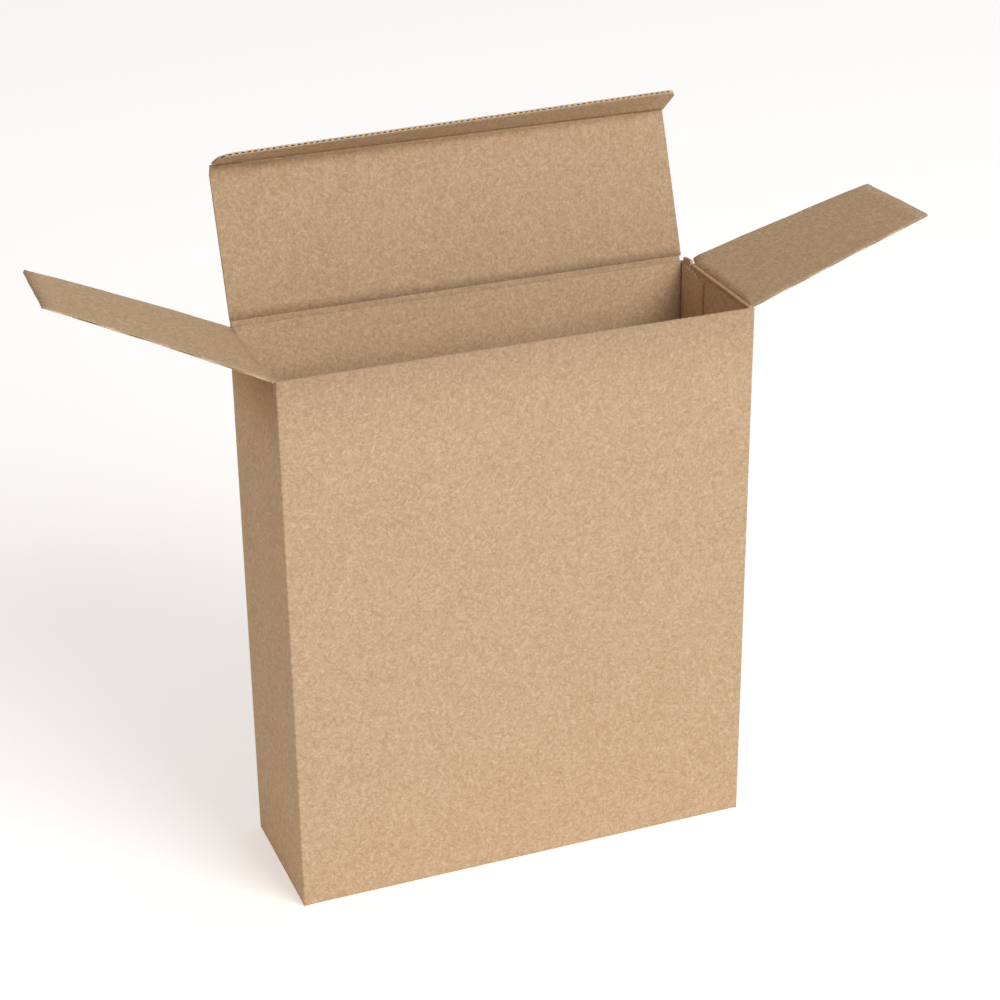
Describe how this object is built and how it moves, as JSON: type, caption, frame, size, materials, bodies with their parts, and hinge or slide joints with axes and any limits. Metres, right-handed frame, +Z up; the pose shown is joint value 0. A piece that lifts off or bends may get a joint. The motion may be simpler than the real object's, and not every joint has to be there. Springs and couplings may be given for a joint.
{
  "type": "bottle shipping box",
  "caption": "Open tuck-top shipping box of fine corrugated kraft board for bottles standing side by side, with dust flaps and a slit-locked lid.",
  "frame": {"origin": "middle of the base, on the surface the box stands on", "axes": "+X along the wide front, from the left wall to the right wall; +Y from the front wall to the back wall; +Z up"},
  "size_m": [0.4743, 0.1098, 0.3979],
  "materials": {
    "kraft_board": "matt brown kraft liner with fine fibres"
  },
  "bodies": {
    "carton": {"carton_body": "kraft_board"},
    "lid": {"lid": "kraft_board"},
    "tuck": {"tuck_flap": "kraft_board"},
    "left_flap": {"left_dust_flap": "kraft_board"},
    "right_flap": {"right_dust_flap": "kraft_board"}
  },
  "joints": [
    {"name": "lid_fold", "type": "hinge", "parent": "carton", "child": "lid", "pos_m": [0, 0.04175, 0.307], "axis": [1, 0, 0], "range_deg": [-94, 108]},
    {"name": "tuck_fold", "type": "hinge", "parent": "lid", "child": "tuck", "pos_m": [0, 0.06697, 0.38461], "axis": [1, 0, 0], "range_deg": [-32.9, 37.8]},
    {"name": "left_flap_fold", "type": "hinge", "parent": "carton", "child": "left_flap", "pos_m": [-0.12925, 0, 0.3053], "axis": [0, 1, 0], "range_deg": [-47, 155]},
    {"name": "right_flap_fold", "type": "hinge", "parent": "carton", "child": "right_flap", "pos_m": [0.12925, 0, 0.3053], "axis": [0, -1, 0], "range_deg": [-37, 165]}
  ],
  "couplings": [
    {"joint": "tuck_fold", "follows": "lid_fold", "ratio": 0.35}
  ]
}
